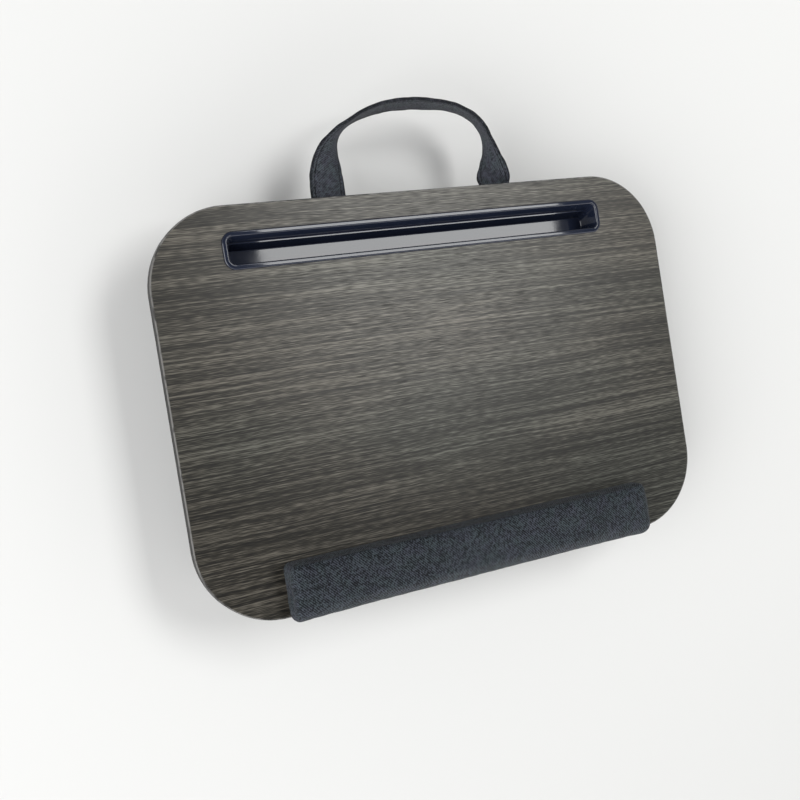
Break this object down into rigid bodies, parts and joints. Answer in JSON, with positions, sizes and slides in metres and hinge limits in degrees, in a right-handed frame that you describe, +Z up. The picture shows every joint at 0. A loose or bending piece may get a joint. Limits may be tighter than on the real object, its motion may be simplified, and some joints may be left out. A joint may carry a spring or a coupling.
{
  "type": "lap tray with cushion",
  "caption": "Lap desk: rounded woodgrain board with a slot tray for a tablet, a fabric wrist rest, a swinging strap handle and a filled cushion underneath.",
  "frame": {"origin": "centre of the cushion's flat underside", "axes": "+X along the board to the right, +Y to the rear edge with the slot and the handle, +Z up out of the board's top face"},
  "size_m": [0.437, 0.3769, 0.082],
  "materials": {
    "woodgrain_laminate": "satin",
    "backing_laminate": "matte",
    "edge_band": "satin",
    "fibreboard": "matte",
    "gloss_black": "gloss",
    "melange_fabric": "matte",
    "strap_fabric": "matte",
    "lining_fabric": "matte",
    "foam": "matte",
    "filling": "matte",
    "pad_foam": "matte",
    "steel": "satin"
  },
  "bodies": {
    "tray": {"board_core": "fibreboard", "board_top_laminate": "woodgrain_laminate", "board_back_laminate": "backing_laminate", "board_edge_band": "edge_band", "slot_tray": "gloss_black", "wrist_rest_strip": "fibreboard", "wrist_rest_foam": "foam", "wrist_rest_cover": "melange_fabric", "wrist_rest_screws": "steel", "strap_tab_left": "strap_fabric", "strap_tab_right": "strap_fabric", "strap_plate_left": "steel", "strap_plate_right": "steel", "strap_screws": "steel", "cushion_side_band": "melange_fabric", "cushion_bottom_panel": "melange_fabric", "cushion_top_panel": "lining_fabric", "cushion_piping": "strap_fabric", "cushion_foam_slab": "foam", "cushion_filling": "filling", "cushion_bonding_pads": "pad_foam"},
    "handle": {"strap_loop": "strap_fabric"}
  },
  "joints": [
    {"name": "handle_swing", "type": "hinge", "parent": "tray", "child": "handle", "pos_m": [0, 0.153, 0.0485], "axis": [1, 0, 0], "range_deg": [-80, 85]}
  ]
}
